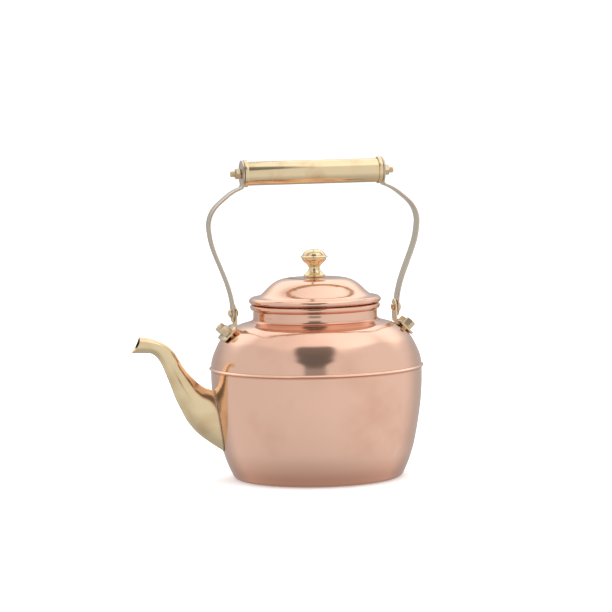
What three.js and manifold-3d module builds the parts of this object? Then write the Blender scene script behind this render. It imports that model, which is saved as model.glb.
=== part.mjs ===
// Copper kettle with a brass gooseneck spout and a swinging bail handle.
// Millimetres, +Z up, origin at the centre of the flat base.
// The spout points to -X. The handle swings about an axis parallel to X.
import * as THREE from 'three';
import { mergeVertices } from 'three/addons/utils/BufferGeometryUtils.js';
import Module from 'manifold-3d';

const wasm = await Module();
wasm.setup();

// ---- shared fits ---------------------------------------------------------
const joint_gap = 0.3;
const copper_sheet = 1.0;
const brass_sheet = 1.0;
const round_segments = 40;
const small_segments = 14;

// ---- body ----------------------------------------------------------------
const body_radius = 83.8;
const base_radius = 64.5;
const belt_height = 88;
const lap_height = 4;
const belt_band_height = 2.6;
const belt_band_proud = 1.2;
const shoulder_height = 36.2;
const neck_radius = 49.3;
const neck_height = 14.2;
const rim_bead_proud = 2.4;
const neck_fillet = 2.2;
const shoulder_top = belt_height + shoulder_height;
const rim_bead_radius = neck_radius + rim_bead_proud;
const rim_top = shoulder_top + neck_height;

// ---- lid -----------------------------------------------------------------
const lid_overhang = 0.8;
const lid_radius = rim_bead_radius + lid_overhang;
const lid_rise = 20.4;
const lid_sheet = 1.0;
const lid_seat = rim_top + joint_gap;
const lid_top = rim_top + lid_rise;
const collar_depth = 11;
const collar_play = 0.7;

// ---- knob ----------------------------------------------------------------
const knob_height = 22;
const knob_radius = 11;
const knob_foot_radius = 8.6;
const knob_waist_radius = 4.4;
const screw_radius = 2;
const screw_head_radius = 3.8;
const screw_head_height = 1.8;
const washer_radius = 5.5;
const washer_thickness = 0.8;
const knob_thread_depth = 9;

// ---- spout ---------------------------------------------------------------
const spout_root_below_belt = 38;
const spout_root_height = belt_height - spout_root_below_belt;
const spout_reach = 58;
const spout_rise = 60.5;
const spout_root_half_height = 21.2;
const spout_mouth_half_height = 6;
const spout_root_half_width = 9.6;
const spout_mouth_half_width = 5.6;
const water_way_margin = 4;
const spout_lip = 5.6;

// ---- ears and pivots -----------------------------------------------------
const ear_slope = 46;
const ear_thickness = 1.6;
const ear_length = 15.5;
const ear_below_touch = 1.2;
const ear_bend_radius = 2.2;
const ear_half_width = 14.5;
const ear_tab_half_width = 6.6;
const ear_bolt_spacing = 18.5;
const bolt_radius = 2;
const nut_across_flats = 7.6;
const nut_height = 6;
const bolt_end = 0.4;
const bolt_head_radius = 4;
const bolt_head_height = 1.8;
const inner_washer_radius = 5;
const inner_washer_thickness = 0.8;
const pivot_above_bend = 8.2;
const rivet_radius = 2;
const rivet_head_radius = 3.6;
const rivet_head_height = 2.6;
const rivet_tail_radius = 3;
const rivet_tail_height = 1.8;

// ---- handle --------------------------------------------------------------
const handle_reach = 109.5;
const grip_radius = 9.5;
const grip_wall = 1;
const grip_half_length = 54.6;
const cap_lip = 1.2;
const cap_radius = grip_radius + cap_lip;
const cap_width = 3;
const cap_recess = 2;
const strap_thickness = 1.5;
const strap_half_width = 7;
const strap_disc_inset = 0.2;
const strap_disc_radius = cap_radius - strap_disc_inset;
const bow_half_span = 84.4;
const rod_radius = 2.5;
const rod_nut_across_flats = 8;
const rod_nut_width = 4.3;
const rod_end = 3.8;

const DEG = Math.PI / 180;

// ---- materials -----------------------------------------------------------
const metal = (name, color, roughness) => {
  const m = new THREE.MeshStandardMaterial({ color, roughness, metalness: 1 });
  m.name = name;
  return m;
};
const COPPER = { name: 'copper', color: 0xd9a184, roughness: 0.2 };
const BRASS = { name: 'brass', color: 0xd8c190, roughness: 0.2 };
const TINNED = { name: 'tinned_copper', color: 0xc9c6bf, roughness: 0.35 };

const kettle = new THREE.Group();
kettle.name = 'copper_kettle';

const place = (name, geometry, look) => {
  const mesh = new THREE.Mesh(geometry, metal(look.name, look.color, look.roughness));
  mesh.name = name;
  kettle.add(mesh);
};

// ---- geometry helpers ----------------------------------------------------
// Turns a closed (r, z) outline about the Z axis. Listed counter-clockwise
// when r points right and z points up, so that faces look outward.
const turned = (outline, segments = round_segments) => {
  const positions = [];
  const index = [];
  const rings = outline.map(([r, z]) => {
    if (r < 1e-6) {
      positions.push(0, 0, z);
      return [positions.length / 3 - 1];
    }
    const ring = [];
    for (let i = 0; i < segments; i += 1) {
      const a = (2 * Math.PI * i) / segments;
      positions.push(r * Math.cos(a), r * Math.sin(a), z);
      ring.push(positions.length / 3 - 1);
    }
    return ring;
  });
  const at = (ring, i) => ring[ring.length === 1 ? 0 : i % segments];
  rings.forEach((ring, k) => {
    const next = rings[(k + 1) % rings.length];
    for (let i = 0; i < segments; i += 1) {
      const a = at(ring, i);
      const b = at(ring, i + 1);
      const c = at(next, i + 1);
      const d = at(next, i);
      if (a !== b) {
        index.push(a, b, c);
      }
      if (c !== d) {
        index.push(a, c, d);
      }
    }
  });
  const g = new THREE.BufferGeometry();
  g.setAttribute('position', new THREE.Float32BufferAttribute(positions, 3));
  g.setIndex(index);
  return g;
};

// A smooth sheet: an open centre or outer line given a thickness on its left.
const smooth = (points, count) => {
  const curve = new THREE.CatmullRomCurve3(
    points.map(([a, b]) => new THREE.Vector3(a, b, 0)), false, 'centripetal');
  return curve.getSpacedPoints(count).map((p) => [p.x, p.y]);
};

const sheet_inside = (line, thickness) => line.map(([r, z], i) => {
  const [r0, z0] = line[Math.max(0, i - 1)];
  const [r1, z1] = line[Math.min(line.length - 1, i + 1)];
  const len = Math.hypot(r1 - r0, z1 - z0);
  return [r - (thickness * (z1 - z0)) / len, z + (thickness * (r1 - r0)) / len];
});

const to_manifold = (geometry) => {
  const g = geometry.clone();
  g.deleteAttribute('normal');
  g.deleteAttribute('uv');
  const merged = mergeVertices(g, 1e-5);
  return new wasm.Manifold(new wasm.Mesh({
    numProp: 3,
    vertProperties: new Float32Array(merged.attributes.position.array),
    triVerts: new Uint32Array(merged.index.array),
  }));
};

const from_manifold = (solid) => {
  const mesh = solid.getMesh();
  const g = new THREE.BufferGeometry();
  g.setAttribute('position', new THREE.Float32BufferAttribute(Array.from(mesh.vertProperties), 3));
  g.setIndex(Array.from(mesh.triVerts));
  return g;
};

const cut = (geometry, ...cutters) => from_manifold(
  cutters.reduce((solid, c) => solid.subtract(to_manifold(c)), to_manifold(geometry)));

// A round bar along +Z from z0 to z1.
const bar = (radius, z0, z1, segments = small_segments) =>
  turned([[0, z0], [radius, z0], [radius, z1], [0, z1]], segments);

const along_x = (geometry, x, y, z, side = 1) => {
  geometry.rotateY((side * Math.PI) / 2);
  geometry.translate(x, y, z);
  return geometry;
};

const hex_nut = (across, z0, z1, bore) => {
  const corner = across / Math.sqrt(3);
  const chamfer = corner * 0.09;
  const blank = turned([[0, z0], [corner, z0], [corner, z1], [0, z1]], 6);
  const rounder = turned([
    [0, z0], [corner - chamfer, z0], [corner + 0.05, z0 + chamfer * 0.7],
    [corner + 0.05, z1 - chamfer * 0.7], [corner - chamfer, z1], [0, z1]], small_segments);
  const solid = to_manifold(blank)
    .intersect(to_manifold(rounder))
    .subtract(to_manifold(bar(bore, z0 - 1, z1 + 1)));
  return from_manifold(solid);
};

// Radius of an upright (r, z) line at a height.
const radius_on = (line, z) => {
  for (let i = 1; i < line.length; i += 1) {
    if (z <= line[i][1]) {
      const [r0, z0] = line[i - 1];
      const [r1, z1] = line[i];
      return r0 + ((r1 - r0) * (z - z0)) / (z1 - z0);
    }
  }
  return line[line.length - 1][0];
};

// Height of a flat-lying (r, z) line at a radius.
const height_on = (line, r) => radius_on(line.map(([a, b]) => [b, a]), r);

// Every second point, for the hidden side of a sheet.
const coarse = (line) => line.filter((_, i) => i % 2 === 0);

// ---- body: shoulder and neck ---------------------------------------------
const shoulder_drop = shoulder_top - belt_height;
const shoulder_gain = body_radius - neck_radius;
const on_shoulder = (f, h) => [neck_radius + f * shoulder_gain, belt_height + h * shoulder_drop];
const shoulder_outer = [
  [body_radius, belt_height - 0.2],
  on_shoulder(0.985, 0.14),
  on_shoulder(0.95, 0.265),
  on_shoulder(0.904, 0.373),
  on_shoulder(0.852, 0.483),
  on_shoulder(0.788, 0.594),
  on_shoulder(0.736, 0.66),
  on_shoulder(0.6, 0.787),
  on_shoulder(0.455, 0.884),
  on_shoulder(0.31, 0.944),
  on_shoulder(0.165, 0.98),
  [neck_radius + neck_fillet, shoulder_top + 0.5],
];
const shoulder_inner = sheet_inside(coarse(shoulder_outer), copper_sheet);
shoulder_inner[0] = [body_radius - copper_sheet, belt_height - 0.2];
shoulder_inner.push([neck_radius + neck_fillet, shoulder_top + 0.5 - copper_sheet]);
const shoulder_sheet = turned([...shoulder_outer, ...[...shoulder_inner].reverse()]);

// Neck collar: soldered edge to edge into the shoulder, with a rolled rim.
const neck_outer = [
  [neck_radius + neck_fillet - joint_gap, shoulder_top + 0.55],
  [neck_radius + 0.7, shoulder_top + 1.6],
  [neck_radius, shoulder_top + 3.4],
  [neck_radius, rim_top - 5.2],
  [neck_radius + 1.3, rim_top - 4.5],
  [rim_bead_radius - 0.3, rim_top - 3.5],
  [rim_bead_radius, rim_top - 2.3],
  [rim_bead_radius - 0.4, rim_top - 1.1],
  [rim_bead_radius - 1.5, rim_top - 0.3],
  [rim_bead_radius - 2.5, rim_top],
];
const neck_inner = [
  [neck_radius + neck_fillet - joint_gap, shoulder_top + 0.55 - copper_sheet],
  [neck_radius - 0.4, shoulder_top + 1],
  [neck_radius - copper_sheet, shoulder_top + 3.2],
  [neck_radius - copper_sheet, rim_top - 4.8],
  [rim_bead_radius - 3, rim_top - copper_sheet],
];
place('body_neck', turned([...neck_outer, ...[...neck_inner].reverse()]), COPPER);

// ---- body: bowl ----------------------------------------------------------
const side_gain = body_radius - base_radius;
const bowl_side = (f, h) => [base_radius + f * side_gain, h * belt_height];
const bowl_outer = [
  [base_radius, 0],
  [base_radius + 1.9, 0.5],
  [base_radius + 3.1, 1.8],
  bowl_side(0.228, 0.053),
  bowl_side(0.347, 0.108),
  bowl_side(0.445, 0.163),
  bowl_side(0.601, 0.27),
  bowl_side(0.762, 0.434),
  bowl_side(0.86, 0.563),
  bowl_side(0.925, 0.665),
  bowl_side(0.969, 0.765),
  bowl_side(0.995, 0.87),
  [body_radius, belt_height - 1.2],
];
const lap_at = (rise) => radius_on(shoulder_inner, belt_height + rise) - joint_gap;
const bowl_inner = sheet_inside(coarse(bowl_outer), copper_sheet);
bowl_inner[0] = [base_radius - 0.6, copper_sheet];
const bowl_outline = [
  [0, 0],
  ...bowl_outer,
  [lap_at(-0.6), belt_height - 0.6],
  [lap_at(lap_height), belt_height + lap_height],
  [lap_at(lap_height) - copper_sheet, belt_height + lap_height],
  [lap_at(-1.6) - copper_sheet, belt_height - 1.6],
  ...bowl_inner.slice(0, -1).reverse(),
  [0, copper_sheet],
];

// ---- spout ---------------------------------------------------------------
// Stations from root to mouth: share of the reach, share of the rise, how far
// each section keeps the root's height and width (1) or has the mouth's (0),
// and the lean of the section from upright in degrees.
const root_radius = radius_on(bowl_outer, spout_root_height);
const between = (mouth_size, root_size, k) => mouth_size + (root_size - mouth_size) * k;
const spout_station = (reach, rise, tall, wide, lean) => ({
  x: -(root_radius + reach * spout_reach),
  z: spout_root_height + rise * spout_rise,
  half: between(spout_mouth_half_height, spout_root_half_height, tall),
  width: between(spout_mouth_half_width, spout_root_half_width, wide),
  lean,
});
const spout_stations = [
  spout_station(-0.16, -0.09, 1.105, 1, 4),
  spout_station(0.012, -0.003, 1, 1, 6),
  spout_station(0.2, 0.1, 0.829, 0.98, 9),
  spout_station(0.318, 0.21, 0.658, 0.9, 16),
  spout_station(0.4, 0.322, 0.507, 0.76, 20),
  spout_station(0.482, 0.452, 0.349, 0.55, 25),
  spout_station(0.545, 0.578, 0.21, 0.32, 31),
  spout_station(0.6, 0.695, 0.132, 0.18, 37),
  spout_station(0.654, 0.802, 0.066, 0.08, 43),
  spout_station(0.716, 0.885, 0.026, 0.03, 45),
  spout_station(0.78, 0.936, 0, 0, 43),
  spout_station(0.852, 0.968, -0.007, 0, 35),
  spout_station(0.931, 0.986, 0, 0, 14),
  spout_station(1.045, 1, 0.013, 0, 2),
];

const blend = (stations, count) => {
  const curve = (pick) => new THREE.CatmullRomCurve3(
    stations.map((s, i) => new THREE.Vector3(pick(s), i, 0)), false, 'catmullrom', 0.5);
  const lines = ['x', 'z', 'half', 'width', 'lean'].map((key) => [key, curve((s) => s[key])]);
  return Array.from({ length: count + 1 }, (_, i) => {
    const s = {};
    lines.forEach(([key, line]) => {
      s[key] = line.getPoint(i / count).x;
    });
    return s;
  });
};

// Closed tube through oval sections; the last section is drawn out along -X
// toward its lower edge to make the beak of the mouth.
const spout_solid = (stations, inset, ring_points, lip) => {
  const positions = [];
  const index = [];
  stations.forEach((s, k) => {
    const a = s.lean * DEG;
    for (let i = 0; i < ring_points; i += 1) {
      const t = (2 * Math.PI * i) / ring_points;
      const up = (s.half - inset) * Math.cos(t);
      const side = (s.width - inset) * Math.sin(t);
      const beak = k === stations.length - 1 ? lip * ((1 - Math.cos(t)) / 2) ** 2 : 0;
      positions.push(s.x + up * Math.sin(a) - beak, side, s.z + up * Math.cos(a));
    }
  });
  const rings = stations.length;
  for (let k = 0; k + 1 < rings; k += 1) {
    for (let i = 0; i < ring_points; i += 1) {
      const j = (i + 1) % ring_points;
      const a = k * ring_points + i;
      const b = k * ring_points + j;
      const c = (k + 1) * ring_points + j;
      const d = (k + 1) * ring_points + i;
      index.push(a, b, c, a, c, d);
    }
  }
  const first = stations[0];
  const last = stations[rings - 1];
  positions.push(first.x, 0, first.z, last.x - lip * 0.3, 0, last.z);
  const root = rings * ring_points;
  const tip = root + 1;
  for (let i = 0; i < ring_points; i += 1) {
    const j = (i + 1) % ring_points;
    index.push(root, j, i);
    index.push(tip, (rings - 1) * ring_points + i, (rings - 1) * ring_points + j);
  }
  const g = new THREE.BufferGeometry();
  g.setAttribute('position', new THREE.Float32BufferAttribute(positions, 3));
  g.setIndex(index);
  return g;
};

const spout_ring_points = 18;
const spout_line = blend(spout_stations, 18);
const spout_outer = spout_solid(spout_line, 0, spout_ring_points, spout_lip);
const mouth = spout_line[spout_line.length - 1];
const bore_line = [...spout_line, { ...mouth, x: mouth.x - spout_lip - 4 }];
const spout_bore = spout_solid(bore_line, brass_sheet, spout_ring_points, 0);
const body_fill = turned([
  [0, -1],
  ...bowl_outer.map(([r, z]) => [r + joint_gap, z]),
  [body_radius + joint_gap, belt_height + 20],
  [0, belt_height + 20],
]);
place('spout', cut(spout_outer, body_fill, spout_bore), BRASS);

// Oval water way through the bowl wall, a little smaller than the spout bore.
const water_way = turned([[0, -20], [1, -20], [1, 20], [0, 20]], 24);
water_way.rotateY(90 * DEG);
water_way.scale(
  1,
  spout_root_half_width - brass_sheet - 0.4 * water_way_margin,
  spout_root_half_height - brass_sheet - water_way_margin);
water_way.translate(-root_radius, 0, spout_root_height - 1);
place('body_bowl', cut(turned(bowl_outline), water_way), COPPER);

// ---- belt bead over the lap joint ----------------------------------------
const band_inner = body_radius + joint_gap;
place('belt_band', turned([
  [band_inner, belt_height - 0.5 * belt_band_height],
  [band_inner + 0.6 * belt_band_proud, belt_height - 0.44 * belt_band_height],
  [band_inner + belt_band_proud, belt_height - 0.2 * belt_band_height],
  [band_inner + belt_band_proud, belt_height + 0.2 * belt_band_height],
  [band_inner + 0.6 * belt_band_proud, belt_height + 0.44 * belt_band_height],
  [band_inner, belt_height + 0.5 * belt_band_height],
]), COPPER);

// ---- ears: bent brackets bolted to the shoulder --------------------------
const slope = ear_slope * DEG;
const down = [Math.cos(slope), -Math.sin(slope)];
const out = [Math.sin(slope), Math.cos(slope)];
const dot = (p, q) => p[0] * q[0] + p[1] * q[1];
const seat = Math.max(...shoulder_outer.map((p) => dot(p, out))) + joint_gap;
const touch = shoulder_outer.reduce((a, b) => (dot(a, out) > dot(b, out) ? a : b));
const plate_low = dot(touch, down) + ear_below_touch;
const on_plate = (s, n) => [s * down[0] + n * out[0], s * down[1] + n * out[1]];
const plate_mid = seat + ear_thickness / 2;

// A bent strip: stations with a centre point (x, z), the direction across its
// thickness and a half width along Y.
const strip = (stations, thickness) => {
  const positions = [];
  const index = [];
  stations.forEach(({ p, n, w }) => {
    const t = thickness / 2;
    positions.push(
      p[0] - n[0] * t, -w, p[1] - n[1] * t,
      p[0] + n[0] * t, -w, p[1] + n[1] * t,
      p[0] + n[0] * t, w, p[1] + n[1] * t,
      p[0] - n[0] * t, w, p[1] - n[1] * t);
  });
  const count = stations.length;
  for (let k = 0; k + 1 < count; k += 1) {
    for (let i = 0; i < 4; i += 1) {
      const a = 4 * k + i;
      const b = 4 * k + ((i + 1) % 4);
      index.push(a, b, b + 4, a, b + 4, a + 4);
    }
  }
  index.push(0, 2, 1, 0, 3, 2);
  const e = 4 * (count - 1);
  index.push(e, e + 1, e + 2, e, e + 2, e + 3);
  const g = new THREE.BufferGeometry();
  g.setAttribute('position', new THREE.Float32BufferAttribute(positions, 3));
  g.setIndex(index);
  return g;
};

// Half width of a rounded end: distance d in from the tip, end radius r.
const round_end = (d, r, full) => (d >= r ? full : Math.max(0.7, full * Math.sqrt(1 - (1 - d / r) ** 2)));

const bracket_stations = () => {
  const list = [];
  const low = on_plate(plate_low, plate_mid);
  const corner = 3.2;
  const flat_steps = [0, 0.25, 0.8, 1.8, corner, ear_length * 0.5, ear_length - corner];
  const wide = (d) => ear_half_width - corner + round_end(d, corner, corner);
  flat_steps.forEach((d) => {
    list.push({ p: [low[0] - down[0] * d, low[1] - down[1] * d], n: out, w: wide(d) });
  });
  [corner - 1.8, corner - 2.6, 0].forEach((d, i) => {
    const s = ear_length - [1.8, 0.7, 0.2][i];
    const w = [wide(1.6), ear_tab_half_width + 2.6, ear_tab_half_width + 0.5][i];
    list.push({ p: [low[0] - down[0] * s, low[1] - down[1] * s], n: out, w });
  });
  const start = [low[0] - down[0] * ear_length, low[1] - down[1] * ear_length];
  const turn = 90 * DEG - slope;
  const centre = [start[0] + out[0] * ear_bend_radius, start[1] + out[1] * ear_bend_radius];
  for (let i = 0; i <= 4; i += 1) {
    const a = slope + (turn * i) / 4;
    const n = [Math.sin(a), Math.cos(a)];
    list.push({
      p: [centre[0] - n[0] * ear_bend_radius, centre[1] - n[1] * ear_bend_radius],
      n,
      w: ear_tab_half_width,
    });
  }
  const tab = list[list.length - 1].p;
  const pivot = tab[1] + pivot_above_bend;
  const tip = pivot + ear_tab_half_width;
  [6.6, 4.8, 3.2, 1.9, 0.9, 0.3, 0].forEach((d) => {
    list.push({
      p: [tab[0], tip - (d * ear_tab_half_width) / 6.6],
      n: [1, 0],
      w: round_end((d * ear_tab_half_width) / 6.6, ear_tab_half_width, ear_tab_half_width),
    });
  });
  return { list, tab_x: tab[0], pivot };
};
const bracket = bracket_stations();
const pivot_height = bracket.pivot;
const grip_height = pivot_height + handle_reach;
const tab_outer = bracket.tab_x + ear_thickness / 2;
const strap_foot = tab_outer + joint_gap + strap_thickness / 2;

// A shape standing on the shoulder: its own Z becomes the way out of the plate.
const bolt_s = plate_low - ear_length * 0.47;
const stand_on_plate = (geometry, y) => {
  const g = geometry.clone();
  g.rotateY(slope);
  const foot = on_plate(bolt_s, seat);
  g.translate(foot[0], y, foot[1]);
  return g;
};

// Depth of the inner face of the shoulder under a bolt, seen from the plate.
const inner_depth = (y, radius) => {
  let depth = 0;
  for (let i = 0; i + 1 < shoulder_inner.length; i += 1) {
    for (let k = 0; k <= 8; k += 1) {
      const f = k / 8;
      const r = shoulder_inner[i][0] * (1 - f) + shoulder_inner[i + 1][0] * f;
      const z = shoulder_inner[i][1] * (1 - f) + shoulder_inner[i + 1][1] * f;
      for (let m = -1; m <= 1; m += 0.5) {
        const yy = Math.abs(y) + m * radius;
        const x = Math.sqrt(Math.max(0, r * r - yy * yy));
        const s = dot([x, z], down);
        if (z > belt_height + lap_height && z < shoulder_top && Math.abs(s - bolt_s) <= radius) {
          depth = Math.max(depth, seat - dot([x, z], out));
        }
      }
    }
  }
  return depth;
};
const washer_top = -(inner_depth(ear_bolt_spacing / 2, inner_washer_radius) + joint_gap);
const head_top = washer_top - inner_washer_thickness - joint_gap;
const nut_foot = ear_thickness + joint_gap;
const bolt_top = nut_foot + nut_height + bolt_end;
const clearance_bore = bolt_radius + joint_gap;

const bolt_shape = turned([
  [0, head_top - bolt_head_height],
  [bolt_head_radius - 0.8, head_top - bolt_head_height],
  [bolt_head_radius, head_top - 0.8],
  [bolt_head_radius, head_top],
  [bolt_radius, head_top],
  [bolt_radius, bolt_top - 0.6],
  [bolt_radius - 0.6, bolt_top],
  [0, bolt_top],
], small_segments);
const nut_shape = hex_nut(nut_across_flats, nut_foot, nut_foot + nut_height, clearance_bore);
const washer_shape = turned([
  [clearance_bore, washer_top - inner_washer_thickness],
  [inner_washer_radius, washer_top - inner_washer_thickness],
  [inner_washer_radius, washer_top],
  [clearance_bore, washer_top],
], small_segments);
const bolt_hole = bar(clearance_bore, -12, 6);

const half_turn = (geometry) => {
  const g = geometry.clone();
  g.rotateZ(Math.PI);
  return g;
};
const bolt_rows = [['left', ear_bolt_spacing / 2], ['right', -ear_bolt_spacing / 2]];
const holes = bolt_rows.map(([, y]) => stand_on_plate(bolt_hole, y));
const rivet_hole = () => along_x(bar(rivet_radius + joint_gap, -30, 30), bracket.tab_x, 0, pivot_height);
const ear_shape = cut(strip(bracket.list, ear_thickness), ...holes, rivet_hole());

place('body_shoulder', cut(shoulder_sheet, ...holes, ...holes.map(half_turn)), COPPER);

// ---- pivot rivets --------------------------------------------------------
const strap_outer = strap_foot + strap_thickness / 2;
const head_x = strap_outer + joint_gap;
const tail_x = bracket.tab_x - ear_thickness / 2 - joint_gap;
const rivet_shape = along_x(turned([
  [0, tail_x - rivet_tail_height],
  [rivet_tail_radius * 0.6, tail_x - rivet_tail_height],
  [rivet_tail_radius, tail_x - rivet_tail_height * 0.45],
  [rivet_tail_radius, tail_x],
  [rivet_radius, tail_x],
  [rivet_radius, head_x],
  [rivet_head_radius, head_x],
  [rivet_head_radius * 0.95, head_x + rivet_head_height * 0.35],
  [rivet_head_radius * 0.74, head_x + rivet_head_height * 0.72],
  [rivet_head_radius * 0.4, head_x + rivet_head_height * 0.94],
  [0, head_x + rivet_head_height],
], small_segments), 0, 0, pivot_height);

// ---- handle straps -------------------------------------------------------
const disc_x = grip_half_length + 1 + joint_gap + strap_thickness / 2;
const strap_span = grip_height - pivot_height;
const low_part = (u, f) => [strap_foot + f * (bow_half_span - strap_foot), pivot_height + u * strap_span];
const high_part = (u, f) => [disc_x + f * (bow_half_span - disc_x), pivot_height + u * strap_span];
const strap_path = smooth([
  [strap_foot, pivot_height + 5],
  low_part(0.087, 0.026),
  low_part(0.174, 0.15),
  low_part(0.256, 0.324),
  low_part(0.342, 0.533),
  low_part(0.429, 0.747),
  low_part(0.507, 0.9),
  low_part(0.589, 0.987),
  low_part(0.648, 1),
  high_part(0.712, 0.932),
  high_part(0.763, 0.801),
  high_part(0.815, 0.578),
  high_part(0.862, 0.338),
  high_part(0.886, 0.16),
  high_part(0.8985, 0.043),
  [disc_x, grip_height - strap_disc_radius + 1.2],
], 36);
const strap_stations = () => {
  const list = [];
  const ends = [0, 0.3, 0.9, 1.9, 3.2, 5, 7];
  ends.forEach((d) => {
    const e = (d * strap_half_width) / 7;
    list.push({
      p: [strap_foot, pivot_height - strap_half_width + e],
      n: [1, 0],
      w: round_end(e, strap_half_width, strap_half_width),
    });
  });
  strap_path.forEach((p, i) => {
    const a = strap_path[Math.max(0, i - 1)];
    const b = strap_path[Math.min(strap_path.length - 1, i + 1)];
    const len = Math.hypot(b[0] - a[0], b[1] - a[1]);
    list.push({ p, n: [(b[1] - a[1]) / len, -(b[0] - a[0]) / len], w: strap_half_width });
  });
  const r = strap_disc_radius;
  for (let i = 0; i <= 12; i += 1) {
    const a = (130 - (i * 130) / 12) * DEG;
    list.push({
      p: [disc_x, grip_height + r * Math.cos(a)],
      n: [1, 0],
      w: Math.max(0.7, r * Math.sin(a)),
    });
  }
  return list;
};
const strap_shape = cut(
  strip(strap_stations(), strap_thickness),
  rivet_hole(),
  along_x(bar(rod_radius + joint_gap, -10, 10), disc_x, 0, grip_height));

// ---- grip caps and rod nuts ----------------------------------------------
const cap_back = disc_x - strap_thickness / 2 - joint_gap;
const cap_front = cap_back - cap_width;
const cap_shape = along_x(turned([
  [rod_radius + joint_gap, cap_front + cap_recess],
  [grip_radius + joint_gap, cap_front + cap_recess],
  [grip_radius + joint_gap, cap_front],
  [cap_radius - 0.4, cap_front],
  [cap_radius, cap_front + 0.5],
  [cap_radius, cap_back - 0.7],
  [cap_radius - 0.7, cap_back],
  [rod_radius + joint_gap, cap_back],
], 26), 0, 0, grip_height);
const rod_nut_x = disc_x + strap_thickness / 2 + joint_gap;
const rod_nut_shape = along_x(
  hex_nut(rod_nut_across_flats, rod_nut_x, rod_nut_x + rod_nut_width, rod_radius + joint_gap),
  0, 0, grip_height);

// ---- both ends: the spout side is the back side turned half round --------
[['back', (g) => g], ['spout', half_turn]].forEach(([end, turn]) => {
  place(`ear_${end}`, turn(ear_shape), BRASS);
  bolt_rows.forEach(([row, y]) => {
    place(`ear_bolt_${end}_${row}`, turn(stand_on_plate(bolt_shape, y)), BRASS);
    place(`ear_nut_${end}_${row}`, turn(stand_on_plate(nut_shape, y)), BRASS);
    place(`ear_washer_${end}_${row}`, turn(stand_on_plate(washer_shape, y)), BRASS);
  });
  place(`pivot_rivet_${end}`, turn(rivet_shape), BRASS);
  place(`handle_strap_${end}`, turn(strap_shape), BRASS);
  place(`grip_cap_${end}`, turn(cap_shape), BRASS);
  place(`rod_nut_${end}`, turn(rod_nut_shape), BRASS);
});

// ---- grip tube and through rod -------------------------------------------
const tube_end = cap_front + cap_recess - joint_gap;
place('grip_tube', along_x(turned([
  [grip_radius - grip_wall, -tube_end],
  [grip_radius, -tube_end],
  [grip_radius, tube_end],
  [grip_radius - grip_wall, tube_end],
], 32), 0, 0, grip_height), BRASS);
const rod_half = rod_nut_x + rod_nut_width + rod_end;
place('grip_rod', along_x(turned([
  [0, -rod_half],
  [rod_radius - 0.6, -rod_half],
  [rod_radius, -rod_half + 0.6],
  [rod_radius, rod_half - 0.6],
  [rod_radius - 0.6, rod_half],
  [0, rod_half],
], small_segments), 0, 0, grip_height), BRASS);

// ---- lid -----------------------------------------------------------------
const on_lid = (f, h) => [f * lid_radius, lid_top - (1 - h) * (lid_rise - joint_gap)];
const lid_crown = [
  on_lid(0.19, 1),
  on_lid(0.305, 0.998),
  on_lid(0.4, 0.985),
  on_lid(0.48, 0.955),
  on_lid(0.545, 0.905),
  on_lid(0.61, 0.82),
  on_lid(0.67, 0.71),
  on_lid(0.715, 0.605),
  on_lid(0.77, 0.46),
  on_lid(0.811, 0.365),
  on_lid(0.85, 0.297),
  on_lid(0.907, 0.255),
  on_lid(0.964, 0.235),
];
const lid_under = sheet_inside(coarse(lid_crown), -lid_sheet);
const rim_fold = [
  [lid_radius - 0.6, lid_seat + 3.7],
  [lid_radius, lid_seat + 2.5],
  [lid_radius - 0.3, lid_seat + 1.1],
  [lid_radius - 1.4, lid_seat + 0.2],
  [lid_radius - 3.2, lid_seat],
  [lid_radius - 4.1, lid_seat],
  [lid_radius - 4.1, lid_seat + lid_sheet],
  [lid_radius - 3.2, lid_seat + lid_sheet],
  [lid_radius - 1.8, lid_seat + 1.2],
  [lid_radius - 1.1, lid_seat + 2.2],
  [lid_radius - 1.3, lid_seat + 2.9],
];
const screw_hole = screw_radius + joint_gap;
const lid_outline = [
  [screw_hole, lid_top],
  ...lid_crown,
  ...rim_fold,
  ...lid_under.slice(1).reverse(),
  [lid_crown[0][0], lid_top - lid_sheet],
  [screw_hole, lid_top - lid_sheet],
];
place('lid_shell', turned(lid_outline.reverse()), COPPER);

// Short cylinder under the lid that centres it in the neck.
const neck_bore = neck_radius - copper_sheet;
const collar_outer = neck_bore - collar_play;
const collar_under = height_on(lid_under, collar_outer) - joint_gap - 0.2;
place('lid_collar', turned([
  [collar_outer - lid_sheet, collar_under],
  [collar_outer - lid_sheet, rim_top - collar_depth],
  [collar_outer - 0.4, rim_top - collar_depth],
  [collar_outer, rim_top - collar_depth + 1],
  [collar_outer, collar_under],
]), TINNED);

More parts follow.
